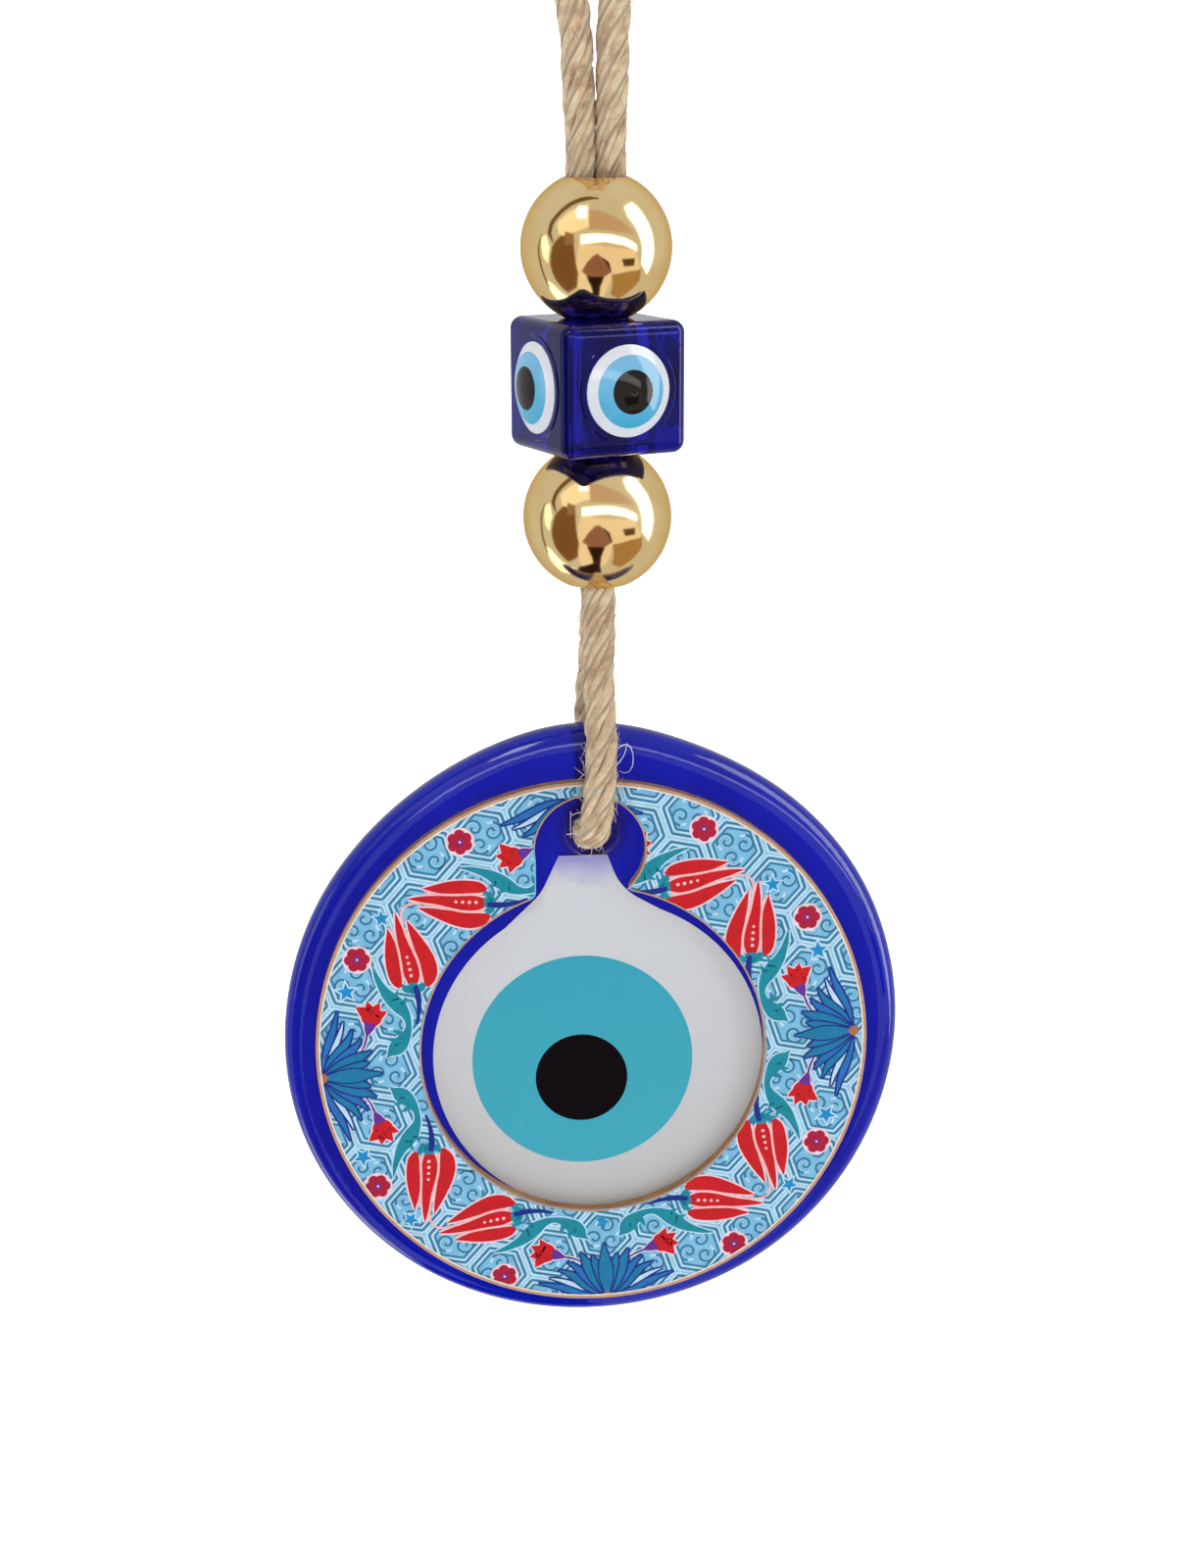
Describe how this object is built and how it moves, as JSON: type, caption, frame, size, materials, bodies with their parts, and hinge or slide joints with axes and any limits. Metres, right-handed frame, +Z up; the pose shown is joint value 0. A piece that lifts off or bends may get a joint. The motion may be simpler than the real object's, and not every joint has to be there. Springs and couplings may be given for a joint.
{
  "type": "evil eye wall ornament",
  "caption": "Hanging evil eye ornament: fused glass eye disc with a printed floral ring, on a jute cord threaded through gold beads and a glass eye cube.",
  "frame": {"origin": "the hanging point: the inside top of the cord's loop, where the hook or nail bears", "axes": "+Z up along the hanging cord, -Y is the front that the eye faces, +X to the viewer's right"},
  "size_m": [0.1044, 0.027, 0.2481],
  "materials": {
    "jute": "twisted natural jute cord, hairy and matt",
    "gold": "mirror bright gold plating",
    "cobalt_glass": "deep cobalt glass, fire polished",
    "white_glass": "opaque white glass, glossy",
    "light_blue_glass": "opaque light blue glass, glossy",
    "black_glass": "opaque black glass, glossy",
    "adhesive": "clear double sided adhesive sheet",
    "printed_wood": "printed face with a satin varnish, tan laser cut edges"
  },
  "bodies": {
    "cord": {"hanging_loop": "jute", "bead_cord": "jute"},
    "bead_stack": {"lower_gold_bead": "gold"},
    "cube": {"glass_cube": "cobalt_glass", "cube_white_front_right": "white_glass", "cube_iris_front_right": "light_blue_glass", "cube_pupil_front_right": "black_glass", "cube_white_rear_right": "white_glass", "cube_iris_rear_right": "light_blue_glass", "cube_pupil_rear_right": "black_glass", "cube_white_rear_left": "white_glass", "cube_iris_rear_left": "light_blue_glass", "cube_pupil_rear_left": "black_glass", "cube_white_front_left": "white_glass", "cube_iris_front_left": "light_blue_glass", "cube_pupil_front_left": "black_glass"},
    "upper_bead": {"upper_gold_bead": "gold"},
    "lower_cord": {"disc_loop": "jute"},
    "disc": {"glass_disc": "cobalt_glass", "white_drop": "white_glass", "iris": "light_blue_glass", "pupil": "black_glass", "ring_adhesive": "adhesive", "printed_ring": "printed_wood"}
  },
  "joints": [
    {"name": "stack_slide", "type": "slide", "parent": "cord", "child": "bead_stack", "axis": [0, 0, 1], "range_m": [0, 0.014]},
    {"name": "cube_turn", "type": "hinge", "parent": "bead_stack", "child": "cube", "pos_m": [0, 0, -0.08135], "axis": [0, 0, 1], "continuous": true},
    {"name": "upper_bead_turn", "type": "hinge", "parent": "bead_stack", "child": "upper_bead", "pos_m": [0, 0, -0.06], "axis": [0, 0, 1], "continuous": true},
    {"name": "disc_twist", "type": "hinge", "parent": "cord", "child": "lower_cord", "pos_m": [0, 0, -0.1141], "axis": [0, 0, 1], "range_deg": [-45, 45], "stiffness_Nm_per_rad": 0.002},
    {"name": "disc_swing", "type": "hinge", "parent": "lower_cord", "child": "disc", "pos_m": [-0.0013, 0, -0.1546], "axis": [0, -1, 0], "range_deg": [-30, 30]}
  ]
}
